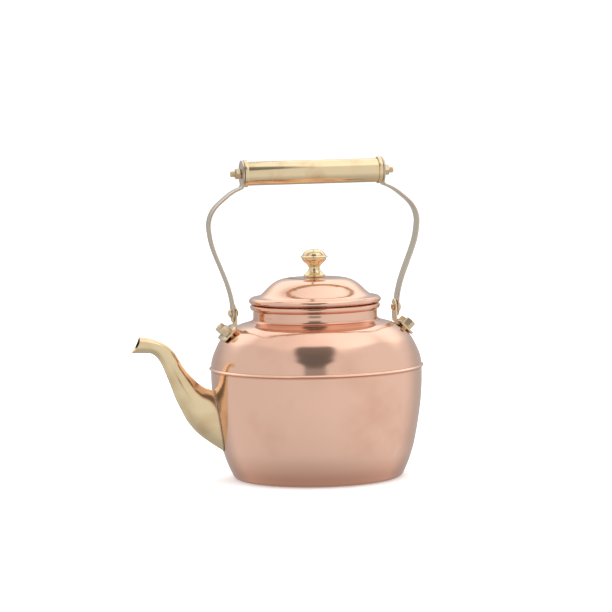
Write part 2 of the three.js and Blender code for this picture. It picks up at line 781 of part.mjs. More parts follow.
// ---- knob ----------------------------------------------------------------
const knob_foot = lid_top + joint_gap;
const on_knob = (r, h) => [r, knob_foot + h * knob_height];
const knob_bore = screw_radius + joint_gap;
place('lid_knob', turned([
  on_knob(knob_bore, 0),
  on_knob(knob_foot_radius - 0.3, 0),
  on_knob(knob_foot_radius, 0.025),
  on_knob(knob_foot_radius, 0.07),
  on_knob(knob_foot_radius - 0.6, 0.1),
  on_knob(knob_waist_radius + 2.2, 0.145),
  on_knob(knob_waist_radius + 0.8, 0.23),
  on_knob(knob_waist_radius, 0.31),
  on_knob(knob_waist_radius, 0.36),
  on_knob(knob_waist_radius + 0.7, 0.4),
  on_knob(knob_radius * 0.56, 0.46),
  on_knob(knob_radius * 0.76, 0.55),
  on_knob(knob_radius * 0.89, 0.64),
  on_knob(knob_radius * 0.92, 0.68),
  on_knob(knob_radius, 0.71),
  on_knob(knob_radius, 0.735),
  on_knob(knob_radius * 0.9, 0.765),
  on_knob(knob_radius * 0.83, 0.82),
  on_knob(knob_radius * 0.68, 0.905),
  on_knob(knob_radius * 0.42, 0.97),
  on_knob(0, 1),
  [0, knob_foot + knob_thread_depth],
  [knob_bore, knob_foot + knob_thread_depth - 1],
], 24), BRASS);

const washer_face = lid_top - lid_sheet - joint_gap;
place('lid_knob_washer', turned([
  [screw_hole, washer_face - washer_thickness],
  [washer_radius, washer_face - washer_thickness],
  [washer_radius, washer_face],
  [screw_hole, washer_face],
], small_segments), BRASS);
const screw_face = washer_face - washer_thickness - joint_gap;
place('lid_knob_screw', turned([
  [0, screw_face - screw_head_height],
  [screw_head_radius - 0.8, screw_face - screw_head_height],
  [screw_head_radius, screw_face - 0.7],
  [screw_head_radius, screw_face],
  [screw_radius, screw_face],
  [screw_radius, knob_foot + knob_thread_depth - 2],
  [0, knob_foot + knob_thread_depth - 2],
], small_segments), BRASS);

export default kettle;
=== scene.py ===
# Copper kettle with a brass gooseneck spout and a swinging bail handle.
# Shapes are written in millimetres and turned into metres when a mesh is made.
import math

import bpy
from mathutils import Matrix, Vector


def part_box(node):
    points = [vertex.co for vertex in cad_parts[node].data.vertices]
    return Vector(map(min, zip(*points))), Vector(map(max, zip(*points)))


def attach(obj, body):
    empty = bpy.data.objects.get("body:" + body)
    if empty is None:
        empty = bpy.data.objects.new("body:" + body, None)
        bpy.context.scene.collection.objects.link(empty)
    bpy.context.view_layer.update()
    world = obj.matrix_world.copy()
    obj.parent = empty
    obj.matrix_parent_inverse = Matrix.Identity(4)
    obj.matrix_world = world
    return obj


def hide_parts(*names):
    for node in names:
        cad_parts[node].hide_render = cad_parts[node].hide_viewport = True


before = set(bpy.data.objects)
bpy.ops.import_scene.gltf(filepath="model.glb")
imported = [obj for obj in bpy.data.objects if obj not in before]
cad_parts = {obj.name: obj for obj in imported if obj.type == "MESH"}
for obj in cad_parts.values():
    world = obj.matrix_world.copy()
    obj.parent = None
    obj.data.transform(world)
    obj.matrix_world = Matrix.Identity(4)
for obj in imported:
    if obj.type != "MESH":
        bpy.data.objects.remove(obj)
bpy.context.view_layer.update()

MM = 0.001
TINY = 1e-6
ROUND = 192
SMALL_ROUND = 48


def box(node):
    """A node's lowest and highest corners, in millimetres."""
    low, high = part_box(node)
    return low / MM, high / MM


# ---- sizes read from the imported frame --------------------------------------
# The joint gap, the sheet's thickness, the shoulder's turned-up lip and how far
# the neck's rim bead stands out.
GAP = 0.3
SHEET = 1.0
SHOULDER_LIP = 0.5
RIM_BEAD_PROUD = 2.4
body_radius = box("body_shoulder")[1].x
belt_low, belt_high = box("belt_band")
belt_height = (belt_low.z + belt_high.z) / 2
shoulder_top = box("body_shoulder")[1].z - SHOULDER_LIP
neck_high = box("body_neck")[1]
rim_top = neck_high.z
rim_bead_radius = neck_high.x
neck_radius = rim_bead_radius - RIM_BEAD_PROUD
lid_low, lid_high = box("lid_shell")
lid_radius = lid_high.x
lid_seat = lid_low.z
lid_top = lid_high.z
grip_low, grip_high = box("grip_tube")
grip_height = (grip_low.z + grip_high.z) / 2
grip_radius = (grip_high.z - grip_low.z) / 2
rivet_low, rivet_high = box("pivot_rivet_back")
pivot_height = (rivet_low.z + rivet_high.z) / 2


# ---- lines ------------------------------------------------------------------
def eased(points, per_span=8):
    """A smooth line through the points, evenly eased between neighbours."""
    run = [Vector(p) for p in points]
    run = [run[0] * 2 - run[1], *run, run[-1] * 2 - run[-2]]
    line = []
    for p0, p1, p2, p3 in zip(run, run[1:], run[2:], run[3:]):
        t1 = max((p1 - p0).length, TINY) ** 0.5
        t2 = t1 + max((p2 - p1).length, TINY) ** 0.5
        t3 = t2 + max((p3 - p2).length, TINY) ** 0.5
        for step in range(per_span):
            t = t1 + (t2 - t1) * step / per_span
            a1 = p0 * ((t1 - t) / t1) + p1 * (t / t1)
            a2 = p1 * ((t2 - t) / (t2 - t1)) + p2 * ((t - t1) / (t2 - t1))
            a3 = p2 * ((t3 - t) / (t3 - t2)) + p3 * ((t - t2) / (t3 - t2))
            b1 = a1 * ((t2 - t) / t2) + a2 * (t / t2)
            b2 = a2 * ((t3 - t) / (t3 - t1)) + a3 * ((t - t1) / (t3 - t1))
            line.append(b1 * ((t2 - t) / (t2 - t1)) + b2 * ((t - t1) / (t2 - t1)))
    return [tuple(p) for p in [*line, run[-2]]]


def inward(line, thickness):
    """The same line moved to its left by the sheet's thickness."""
    moved = []
    for i, (r, z) in enumerate(line):
        r0, z0 = line[max(0, i - 1)]
        r1, z1 = line[min(len(line) - 1, i + 1)]
        length = math.hypot(r1 - r0, z1 - z0)
        moved.append((r - thickness * (z1 - z0) / length, z + thickness * (r1 - r0) / length))
    return moved


def radius_on(line, z):
    """The radius of an upright line at a height."""
    for (r0, z0), (r1, z1) in zip(line, line[1:]):
        if z <= z1:
            return r0 + (r1 - r0) * (z - z0) / (z1 - z0)
    return line[-1][0]


def softened(points, radius=0.35, steps=3):
    """A closed outline with each corner rounded, so that edges catch the light."""
    count = len(points)
    line = []
    for i, point in enumerate(points):
        p, a, b = Vector(point), Vector(points[i - 1]), Vector(points[(i + 1) % count])
        if p.x < TINY:
            line.append(tuple(p))
            continue
        into, away = (a - p), (b - p)
        cut = min(radius, into.length * 0.45, away.length * 0.45)
        start, end = p + into.normalized() * cut, p + away.normalized() * cut
        for k in range(steps + 1):
            t = k / steps
            line.append(tuple(start * (1 - t) ** 2 + p * (2 * t * (1 - t)) + end * t**2))
    return line


# ---- meshes -----------------------------------------------------------------
def new_piece(name, points, faces, finishes=None, crease=38, along=None):
    """A mesh object from millimetre points, smooth except where it turns sharply."""
    mesh = bpy.data.meshes.new(name)
    mesh.from_pydata([Vector(p) * MM for p in points], [], faces)
    mesh.shade_smooth()
    mesh.set_sharp_from_angle(angle=math.radians(crease))
    if finishes:
        mesh.polygons.foreach_set("material_index", finishes)
    if along:
        layer = mesh.uv_layers.new(name="along")
        for loop in mesh.loops:
            layer.data[loop.index].uv = along[loop.vertex_index]
    mesh.update()
    piece = bpy.data.objects.new(name, mesh)
    bpy.context.scene.collection.objects.link(piece)
    return piece


def turned_shell(outline, segments=ROUND, inside=None):
    """Points and faces of a closed outline turned about Z. Inside marks the lining."""
    area = sum(
        a[0] * b[1] - b[0] * a[1] for a, b in zip(outline, [*outline[1:], outline[0]])
    )
    if area < 0:
        outline = outline[::-1]
    points, rings = [], []
    for r, z in outline:
        if r < TINY:
            rings.append([len(points)] * segments)
            points.append((0, 0, z))
            continue
        rings.append(range(len(points), len(points) + segments))
        for i in range(segments):
            a = 2 * math.pi * i / segments
            points.append((r * math.cos(a), r * math.sin(a), z))
    faces, finishes = [], []
    for k, ring in enumerate(rings):
        above = rings[(k + 1) % len(rings)]
        lined = 1 if inside and inside(outline[k], outline[(k + 1) % len(rings)]) else 0
        for i in range(segments):
            j = (i + 1) % segments
            corners = [ring[i], ring[j], above[j], above[i]]
            face = [c for n, c in enumerate(corners) if c not in corners[:n]]
            if len(face) > 2:
                faces.append(face)
                finishes.append(lined)
    return points, faces, finishes


def placed(points, matrix):
    return [tuple(matrix @ Vector(p)) for p in points]


HALF_TURN = Matrix.Rotation(math.pi, 4, "Z")
ALONG_X = Matrix.Rotation(math.pi / 2, 4, "Y")


def swept_strip(stations, thickness, edge=0.35):
    """Points, faces and lengthwise marks of a strap: stations are (x, z), (nx, nz)
    across the thickness, and the half width."""
    t = thickness / 2
    e = min(edge, t * 0.9)
    points, along, travelled = [], [], 0.0
    previous = None
    ring = 12
    for (x, z), (nx, nz), w in stations:
        if previous:
            travelled += math.hypot(x - previous[0], z - previous[1])
        previous = (x, z)
        k = min(e, w * 0.5)
        for side, out in (
            (-w, -(t - e)),
            (-w, t - e),
            (-w + 0.3 * k, t - 0.3 * e),
            (-w + k, t),
            (0, t),
            (w - k, t),
            (w - 0.3 * k, t - 0.3 * e),
            (w, t - e),
            (w, -(t - e)),
            (w - k, -t),
            (0, -t),
            (-w + k, -t),
        ):
            points.append((x + nx * out, side, z + nz * out))
            along.append((travelled * MM, side * MM))
    faces = []
    last = len(stations) - 1
    for s in range(last):
        for i in range(ring):
            j = (i + 1) % ring
            a, b = s * ring + i, s * ring + j
            faces.append((a, b, b + ring, a + ring))
    faces.append(tuple(range(ring - 1, -1, -1)))
    faces.append(tuple(range(last * ring, (last + 1) * ring)))
    return points, faces, along


def hexagon(across, low, high, bore, rows=3):
    """A six-sided nut with turned-off corners at both ends and a round bore."""
    segments = 72
    corner = across / math.sqrt(3)
    bevel = corner * 0.1

    def flat_radius(a):
        return (across / 2) / math.cos((a + math.pi / 6) % (math.pi / 3) - math.pi / 6)

    heights = [low, low + bevel * 0.35, low + bevel * 0.75]
    heights += [low + bevel + (high - low - 2 * bevel) * k / rows for k in range(rows + 1)]
    heights += [high - bevel * 0.75, high - bevel * 0.35, high]
    points, faces = [], []
    for z in heights:
        end = min(z - low, high - z)
        limit = corner - bevel * 1.4 + end * 1.8
        for i in range(segments):
            a = 2 * math.pi * i / segments
            r = min(flat_radius(a), limit)
            points.append((r * math.cos(a), r * math.sin(a), z))
    for z in (high, low):
        for i in range(segments):
            a = 2 * math.pi * i / segments
            points.append((bore * math.cos(a), bore * math.sin(a), z))
    rings = len(heights) + 2
    for k in range(rings):
        for i in range(segments):
            j = (i + 1) % segments
            a, b = k * segments + i, k * segments + j
            c, d = ((k + 1) % rings) * segments + j, ((k + 1) % rings) * segments + i
            faces.append((a, b, c, d))
    return points, faces


def threaded_end(radius, low, high, pitch=0.8, depth=0.28):
    """A screw-threaded stub with a bevelled tip, closed at both ends."""
    segments, per_turn = 32, 8
    rows = max(4, int((high - low) / pitch * per_turn))
    points, faces = [], []
    for k in range(rows + 1):
        z = low + (high - low) * k / rows
        tip = min(1.0, (high - z) / 0.7)
        for i in range(segments):
            a = 2 * math.pi * i / segments
            turn = (z / pitch - a / (2 * math.pi)) % 1
            r = radius - depth * abs(2 * turn - 1)
            r = min(r, radius - 0.55 + 0.55 * tip)
            points.append((r * math.cos(a), r * math.sin(a), z))
    for k in range(rows):
        for i in range(segments):
            j = (i + 1) % segments
            a, b = k * segments + i, k * segments + j
            faces.append((a, b, b + segments, a + segments))
    foot = len(points)
    points += [(0, 0, low), (0, 0, high)]
    top = rows * segments
    for i in range(segments):
        j = (i + 1) % segments
        faces.append((foot, j, i))
        faces.append((foot + 1, top + i, top + j))
    return points, faces


def joined(*shells):
    """Several closed shells as one list of points and faces."""
    points, faces = [], []
    for shell_points, shell_faces in shells:
        start = len(points)
        points += shell_points
        faces += [tuple(start + v for v in f) for f in shell_faces]
    return points, faces


# ---- finishes ---------------------------------------------------------------
class Wiring:
    """Short words for wiring a node tree."""

    def __init__(self, tree):
        self.tree = tree

    def node(self, kind, **settings):
        made = self.tree.nodes.new(kind)
        for key, value in settings.items():
            setattr(made, key, value)
        return made

    def feed(self, socket, value):
        if isinstance(value, bpy.types.NodeSocket):
            self.tree.links.new(value, socket)
        else:
            socket.default_value = value

    def sum(self, operation, a, b=0.0, c=0.0):
        made = self.node("ShaderNodeMath", operation=operation)
        for socket, value in zip(made.inputs, (a, b, c)):
            self.feed(socket, value)
        return made.outputs[0]

    def span(self, value, low, high, to_low, to_high):
        made = self.node("ShaderNodeMapRange", interpolation_type="SMOOTHSTEP")
        for key, v in enumerate((value, low, high, to_low, to_high)):
            self.feed(made.inputs[key], v)
        return made.outputs[0]


class Bench(Wiring):
    """The wiring of one material."""

    def __init__(self, name):
        self.material = bpy.data.materials.new(name)
        self.material.use_nodes = True
        super().__init__(self.material.node_tree)
        self.shader = self.tree.nodes["Principled BSDF"]

    def noise(self, vector, scale, detail=3.0, w=None, rough=0.5):
        made = self.node("ShaderNodeTexNoise", noise_dimensions="4D" if w else "3D")
        self.feed(made.inputs["Vector"], vector)
        self.feed(made.inputs["Scale"], scale)
        self.feed(made.inputs["Detail"], detail)
        self.feed(made.inputs["Roughness"], rough)
        if w:
            self.feed(made.inputs["W"], w)
        return made.outputs["Fac"]

    def blend(self, amount, a, b):
        made = self.node("ShaderNodeMix", data_type="RGBA")
        self.feed(made.inputs["Factor"], amount)
        self.feed(made.inputs["A"], a)
        self.feed(made.inputs["B"], b)
        return made.outputs["Result"]

    def here(self, centre=(0, 0, 0), turn=(0, 0, 0)):
        """The piece's own coordinates, moved and turned so that Z is its axis."""
        spot = self.node("ShaderNodeTexCoord").outputs["Object"]
        move = self.node("ShaderNodeMapping", vector_type="TEXTURE")
        self.feed(move.inputs["Vector"], spot)
        move.inputs["Location"].default_value = [c * MM for c in centre]
        move.inputs["Rotation"].default_value = turn
        return move.outputs["Vector"]

    def lathe_lines(self, spot, pitch, detail=2.0):
        """Fine lines that run round the Z axis, without a seam."""
        parts = self.node("ShaderNodeSeparateXYZ")
        self.feed(parts.inputs[0], spot)
        flat = self.node("ShaderNodeCombineXYZ")
        self.feed(flat.inputs[0], parts.outputs[0])
        self.feed(flat.inputs[1], parts.outputs[1])
        reach = self.node("ShaderNodeVectorMath", operation="LENGTH")
        self.feed(reach.inputs[0], flat.outputs[0])
        aim = self.node("ShaderNodeVectorMath", operation="NORMALIZE")
        self.feed(aim.inputs[0], flat.outputs[0])
        turn = self.node("ShaderNodeSeparateXYZ")
        self.feed(turn.inputs[0], aim.outputs[0])
        spread = self.node("ShaderNodeCombineXYZ")
        fine = 1 / (pitch * MM)
        self.feed(spread.inputs[0], self.sum("MULTIPLY", reach.outputs["Value"], fine))
        self.feed(spread.inputs[1], self.sum("MULTIPLY", parts.outputs[2], fine))
        self.feed(spread.inputs[2], turn.outputs[0])
        return self.noise(spread.outputs[0], 1.0, detail, turn.outputs[1])

    def surface(self, colour, roughness, height, lift):
        self.feed(self.shader.inputs["Base Color"], colour)
        self.feed(self.shader.inputs["Roughness"], roughness)
        self.shader.inputs["Metallic"].default_value = 1.0
        bump = self.node("ShaderNodeBump")
        bump.inputs["Strength"].default_value = 1.0
        bump.inputs["Distance"].default_value = lift * MM
        self.feed(bump.inputs["Height"], height)
        self.feed(self.shader.inputs["Normal"], bump.outputs["Normal"])
        return self.material


def rgba(colour):
    return (*colour, 1.0)


def height_of(bench, spot):
    parts = bench.node("ShaderNodeSeparateXYZ")
    bench.feed(parts.inputs[0], spot)
    return parts.outputs[2]


def spun_copper(name, tone, deep, gloss, seams_and_painted_shade):
    """Polished spun sheet: lathe lines, faint colour clouds, a few specks and a
    darker band round each given height, given as (height, reach, amount)."""
    b = Bench(name)
    spot = b.here()
    height = height_of(b, spot)
    lines = b.lathe_lines(spot, 0.9)
    bands = b.lathe_lines(spot, 9.0, 1.0)
    clouds = b.noise(spot, 16.0, 4.0)
    fine = b.noise(spot, 900.0, 2.0)
    darkening = b.span(clouds, 0.48, 0.78, 0.0, 0.3)
    # Darker bands at the given heights; the band at the foot of the body is painted shade and a painted
    # reflection of the floor.
    for level, reach, amount in seams_and_painted_shade:
        away = b.sum("ABSOLUTE", b.sum("SUBTRACT", height, level * MM))
        darkening = b.sum("MAXIMUM", darkening, b.span(away, 0.0, reach * MM, amount, 0.0))
    pits = b.node("ShaderNodeTexVoronoi")
    b.feed(pits.inputs["Vector"], spot)
    pits.inputs["Scale"].default_value = 48.0
    speck = b.span(pits.outputs["Distance"], 0.012, 0.03, 0.75, 0.0)
    rare = b.span(b.noise(spot, 31.0, 1.0), 0.56, 0.62, 0.0, 1.0)
    darkening = b.sum("MAXIMUM", darkening, b.sum("MULTIPLY", speck, rare))
    colour = b.blend(darkening, rgba(tone), rgba(deep))
    rough = b.sum("MULTIPLY_ADD", lines, gloss * 0.55, gloss * 0.55)
    rough = b.sum("MULTIPLY_ADD", clouds, gloss * 0.45, rough)
    relief = b.sum("MULTIPLY_ADD", b.noise(spot, 26.0, 1.5), 1.0, b.sum("MULTIPLY", bands, 0.10))
    relief = b.sum("MULTIPLY_ADD", lines, 0.0045, relief)
    relief = b.sum("MULTIPLY_ADD", fine, 0.0012, relief)
    return b.surface(colour, rough, relief, 0.12)


def wiped_tin():
    """Tin wiped on by hand inside the body: satin, with round wiping marks."""
    b = Bench("wiped_tin")
    spot = b.here()
    marks = b.lathe_lines(spot, 3.0)
    clouds = b.noise(spot, 40.0, 4.0)
    wiped = b.span(clouds, 0.4, 0.7, 0.0, 1.0)
    colour = b.blend(wiped, rgba((0.74, 0.72, 0.68)), rgba((0.60, 0.57, 0.53)))
    rough = b.sum("MULTIPLY_ADD", marks, 0.22, 0.2)
    return b.surface(colour, rough, b.sum("MULTIPLY_ADD", marks, 0.2, clouds), 0.08)


def turned_brass(name, tone, deep, gloss, centre=(0, 0, 0), turn=(0, 0, 0), pitch=0.5, wave=0.03):
    """Polished brass turned on a lathe about its own axis."""
    b = Bench(name)
    spot = b.here(centre, turn)
    lines = b.lathe_lines(spot, pitch)
    clouds = b.noise(spot, 60.0, 3.0)
    colour = b.blend(b.span(clouds, 0.45, 0.8, 0.0, 0.5), rgba(tone), rgba(deep))
    rough = b.sum("MULTIPLY_ADD", lines, gloss * 0.7, gloss * 0.6)
    relief = b.sum("MULTIPLY_ADD", lines, 0.05, clouds)
    return b.surface(colour, rough, relief, wave)


def cast_brass(name, tone, deep, gloss):
    """Cast, filed and buffed brass: soft waves and short buffing marks."""
    b = Bench(name)
    spot = b.here()
    waves = b.noise(spot, 45.0, 2.0)
    stretch = b.node("ShaderNodeMapping")
    b.feed(stretch.inputs["Vector"], spot)
    stretch.inputs["Rotation"].default_value = (0.0, math.radians(50), 0.0)
    stretch.inputs["Scale"].default_value = (120.0, 900.0, 900.0)
    marks = b.noise(stretch.outputs["Vector"], 1.0, 2.0)
    colour = b.blend(b.span(waves, 0.42, 0.75, 0.0, 0.45), rgba(tone), rgba(deep))
    rough = b.sum("MULTIPLY_ADD", marks, gloss * 0.7, gloss * 0.6)
    relief = b.sum("MULTIPLY_ADD", marks, 0.012, waves)
    return b.surface(colour, rough, relief, 0.12)


def rolled_brass(name, tone, deep, gloss):
    """Pale rolled strip: drawing lines that follow its length, duller at the edges."""
    b = Bench(name)
    strip = b.node("ShaderNodeUVMap", uv_map="along").outputs["UV"]
    stretch = b.node("ShaderNodeMapping")
    b.feed(stretch.inputs["Vector"], strip)
    stretch.inputs["Scale"].default_value = (25.0, 1800.0, 1.0)
    lines = b.noise(stretch.outputs["Vector"], 1.0, 3.0)
    clouds = b.noise(b.here(), 70.0, 3.0)
    parts = b.node("ShaderNodeSeparateXYZ")
    b.feed(parts.inputs[0], strip)
    edge = b.span(b.sum("ABSOLUTE", parts.outputs[1]), 5.6 * MM, 7.0 * MM, 0.0, 0.5)
    darkening = b.sum("MAXIMUM", b.span(clouds, 0.5, 0.8, 0.0, 0.5), edge)
    colour = b.blend(darkening, rgba(tone), rgba(deep))
    rough = b.sum("MULTIPLY_ADD", lines, gloss * 0.8, gloss * 0.6)
    return b.surface(colour, rough, b.sum("MULTIPLY_ADD", lines, 0.08, clouds), 0.04)


def solder_grey():
    """The thin run of solder round the spout's root."""
    b = Bench("solder_run")
    spot = b.here()
    lumps = b.noise(spot, 600.0, 2.0)
    colour = b.blend(lumps, rgba((0.40, 0.27, 0.17)), rgba((0.72, 0.66, 0.55)))
    return b.surface(colour, b.span(lumps, 0.3, 0.7, 0.22, 0.42), lumps, 0.15)


SIDEWAYS = (0.0, math.pi / 2, 0.0)
COPPER = (0.945, 0.610, 0.470)
# Darker copper: used for the tarnish clouds and specks, and for the painted shade at the foot of the
# body.
TARNISH_AND_SHADE_COPPER = (0.600, 0.235, 0.135)
BRASS = (0.905, 0.735, 0.470)
OLD_BRASS = (0.560, 0.350, 0.150)

copper_body = spun_copper(
    "copper_body",
    COPPER,
    TARNISH_AND_SHADE_COPPER,
    0.13,
    [
        # Darker towards the foot: painted shade and a painted warm reflection of the floor.
        (0.0, 27.0, 0.62),
        (belt_height - 1.5, 1.2, 0.45),
        (belt_height + 1.5, 0.7, 0.3),
        (shoulder_top + 0.8, 3.2, 0.45),
    ],
)
copper_lid = spun_copper(
    "copper_lid",
    COPPER,
    TARNISH_AND_SHADE_COPPER,
    0.11,
    [(lid_seat, 1.5, 0.8), (lid_top, 0.7, 0.4)],
)
tin = wiped_tin()
spout_brass = cast_brass("spout_brass", BRASS, OLD_BRASS, 0.13)
knob_brass = turned_brass("knob_brass", BRASS, OLD_BRASS, 0.10, pitch=0.6, wave=0.02)
grip_brass = turned_brass(
    "grip_brass", BRASS, OLD_BRASS, 0.14, (0, 0, grip_height), SIDEWAYS, 0.7, 0.03
)
fixing_brass = cast_brass("fixing_brass", (0.90, 0.74, 0.52), OLD_BRASS, 0.2)
strap_brass = rolled_brass("strap_brass", (0.84, 0.735, 0.62), (0.50, 0.41, 0.31), 0.26)
solder = solder_grey()


def finish_piece(piece, body, slot, materials, *nodes):
    """Gives a piece its finish and its body, and hides the nodes it stands for."""
    for material in materials:
        piece.data.materials.append(material)
    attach(piece, body)
    if nodes:
        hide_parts(*nodes)
    return piece


# ---- body: bowl, shoulder, neck and belt -------------------------------------
BASE_SHARE = 0.7697
base_radius = body_radius * BASE_SHARE


def bowl_side(f, h):
    return (base_radius + f * (body_radius - base_radius), h * belt_height)


bowl_wall = eased(
    [
        (base_radius - 0.8, 0.0),
        (base_radius + 1.9, 0.6),
        (base_radius + 3.1, 1.9),
        bowl_side(0.228, 0.053),
        bowl_side(0.347, 0.108),
        bowl_side(0.445, 0.163),
        bowl_side(0.601, 0.27),
        bowl_side(0.762, 0.434),
        bowl_side(0.86, 0.563),
        bowl_side(0.925, 0.665),
        bowl_side(0.969, 0.765),
        bowl_side(0.995, 0.87),
        (body_radius, belt_height - 1.2),
    ],
    6,
)


def on_shoulder(f, h):
    drop = shoulder_top - belt_height
    return (neck_radius + f * (body_radius - neck_radius), belt_height + h * drop)


neck_foot = neck_radius + 2.2
shoulder_wall = eased(
    [
        (body_radius, belt_height - 0.2),
        on_shoulder(0.985, 0.14),
        on_shoulder(0.95, 0.265),
        on_shoulder(0.904, 0.373),
        on_shoulder(0.852, 0.483),
        on_shoulder(0.788, 0.594),
        on_shoulder(0.736, 0.66),
        on_shoulder(0.6, 0.787),
        on_shoulder(0.455, 0.884),
        on_shoulder(0.31, 0.944),
        on_shoulder(0.165, 0.98),
        (neck_foot, shoulder_top + SHOULDER_LIP),
    ],
    6,
)
shoulder_lining = inward(shoulder_wall, SHEET)


def lap(rise):
    return radius_on(shoulder_lining, belt_height + rise) - GAP


bowl_outline = [
    (0, 0),
    *bowl_wall,
    (lap(-0.6), belt_height - 0.6),
    (lap(4), belt_height + 4),
    (lap(4) - SHEET, belt_height + 4),
    (lap(-1.6) - SHEET, belt_height - 1.6),
    *inward(bowl_wall, SHEET)[4:-1][::-1],
    (0, SHEET),
]


def bowl_lining(a, b):
    """True for the inner face of the bowl, which is tinned."""
    inner = radius_on(bowl_wall, (a[1] + b[1]) / 2) - 0.6
    return (a[0] + b[0]) / 2 < inner and min(a[1], b[1]) > 0.5


points, faces, lined = turned_shell(bowl_outline, ROUND, bowl_lining)
bowl = new_piece("bowl", points, faces, lined)

points, faces, lined = turned_shell(
    [*shoulder_wall, *shoulder_lining[::-1]],
    ROUND,
    lambda a, b: (a in shoulder_lining) and (b in shoulder_lining),
)
shoulder = new_piece("shoulder", points, faces, lined)

neck_wall = eased(
    [
        (neck_foot - GAP, shoulder_top + 0.55),
        (neck_radius + 0.7, shoulder_top + 1.6),
        (neck_radius, shoulder_top + 3.4),
        (neck_radius, shoulder_top + 6.0),
        (neck_radius, rim_top - 5.2),
        (neck_radius + 1.3, rim_top - 4.5),
        (rim_bead_radius - 0.3, rim_top - 3.5),
        (rim_bead_radius, rim_top - 2.3),
        (rim_bead_radius - 0.4, rim_top - 1.1),
        (rim_bead_radius - 1.5, rim_top - 0.3),
        (rim_bead_radius - 2.5, rim_top),
    ],
    5,
)
neck_lining = eased(
    [
        (neck_foot - GAP, shoulder_top + 0.55 - SHEET),
        (neck_radius - 0.4, shoulder_top + 1),
        (neck_radius - SHEET, shoulder_top + 3.2),
        (neck_radius - SHEET, rim_top - 4.8),
        (rim_bead_radius - 3, rim_top - SHEET),
    ],
    5,
)
points, faces, lined = turned_shell(
    [*neck_wall, *neck_lining[::-1]],
    ROUND,
    lambda a, b: (a in neck_lining) and (b in neck_lining),
)
neck = new_piece("neck_collar", points, faces, lined)

band_inner = body_radius + GAP
band_half = (belt_high.z - belt_low.z) / 2
band_proud = belt_high.x - band_inner
# The bead's back is sunk in the body, so that no dark gap shows along it.
BEAD_SINK, BEAD_STEPS = 0.5, 12
bead_rise = band_inner + band_proud - body_radius
bead = [(band_inner - BEAD_SINK, belt_height - band_half)]
for step in range(BEAD_STEPS + 1):
    share = 2 * step / BEAD_STEPS - 1
    swell = math.cos(share * math.pi / 2) ** 1.5
    bead.append((body_radius + bead_rise * swell, belt_height + share * band_half))
bead.append((band_inner - BEAD_SINK, belt_height + band_half))
points, faces, lined = turned_shell(bead, ROUND)
belt = new_piece("belt_bead", points, faces)

finish_piece(bowl, "kettle", "copper_body", [copper_body, tin], "body_bowl")
finish_piece(shoulder, "kettle", "copper_body", [copper_body, tin], "body_shoulder")
finish_piece(neck, "kettle", "copper_body", [copper_body, tin], "body_neck")
finish_piece(belt, "kettle", "copper_body", [copper_body], "belt_band")

# ---- spout --------------------------------------------------------------------
root_height = 50.0
root_radius = radius_on(bowl_wall, root_height)
# A hair short of the CAD spout, so that the mouth stays inside its box.
spout_reach, spout_rise = 57.95, 60.5
ROOT_HALF_HEIGHT, ROOT_HALF_WIDTH = 21.2, 9.6
MOUTH_HALF_HEIGHT, MOUTH_HALF_WIDTH = 6.0, 5.6
# How far the lower lip runs out under the mouth, and where it starts.
BEAK, BEAK_START = 5.6, 0.925
# reach, rise, share of the root's height and width kept, and lean in degrees
SPOUT_STATIONS = [
    (-0.16, -0.09, 1.105, 1, 4),
    (0.012, -0.003, 1, 1, 6),
    (0.2, 0.1, 0.829, 0.98, 9),
    (0.318, 0.21, 0.658, 0.9, 16),
    (0.4, 0.322, 0.507, 0.76, 20),
    (0.482, 0.452, 0.349, 0.55, 25),
    (0.545, 0.578, 0.21, 0.32, 31),
    (0.6, 0.695, 0.132, 0.18, 37),
    (0.654, 0.802, 0.066, 0.08, 43),
    (0.716, 0.885, 0.026, 0.03, 45),
    (0.78, 0.936, 0, 0, 43),
    (0.852, 0.968, -0.007, 0, 35),
    (0.931, 0.986, 0, 0, 14),
    (1.045, 1, 0.013, 0, 2),
]


def spout_section(s):
    """The spout's section at s, from 0 at the root to 1 at the mouth."""
    place = s * (len(SPOUT_STATIONS) - 1)
    i = min(int(place), len(SPOUT_STATIONS) - 2)
    t = place - i
    picked = [SPOUT_STATIONS[max(0, min(len(SPOUT_STATIONS) - 1, i + k))] for k in (-1, 0, 1, 2)]
    weights = (
        (-t + 2 * t**2 - t**3) / 2,
        (2 - 5 * t**2 + 3 * t**3) / 2,
        (t + 4 * t**2 - 3 * t**3) / 2,
        (-(t**2) + t**3) / 2,
    )
    reach, rise, tall, wide, lean = (
        sum(w * p[key] for w, p in zip(weights, picked)) for key in range(5)
    )
    return (
        -(root_radius + reach * spout_reach),
        root_height + rise * spout_rise,
        MOUTH_HALF_HEIGHT + (ROOT_HALF_HEIGHT - MOUTH_HALF_HEIGHT) * tall,
        MOUTH_HALF_WIDTH + (ROOT_HALF_WIDTH - MOUTH_HALF_WIDTH) * wide,
        math.radians(lean),
    )


def on_spout(s, t, inset):
    """A point on the spout's wall: t is the way round, from the top."""
    x, z, half, width, lean = spout_section(s)
    up = (half - inset) * math.cos(t)
    reach = max(0.0, (s - BEAK_START) / (1 - BEAK_START))
    lip = BEAK * ((1 - math.cos(t)) / 2) ** 2 * reach**2
    return Vector((x + up * math.sin(lean) - lip, (width - inset) * math.sin(t), z + up * math.cos(lean)))


def root_share(t, inset):
    """Where a lengthwise line of the spout leaves the bowl's wall."""
    low, high = 0.0, 0.4
    for _ in range(30):
        s = (low + high) / 2
        p = on_spout(s, t, inset)
        if math.hypot(p.x, p.y) > radius_on(bowl_wall, p.z) + GAP:
            high = s
        else:
            low = s
    return (low + high) / 2


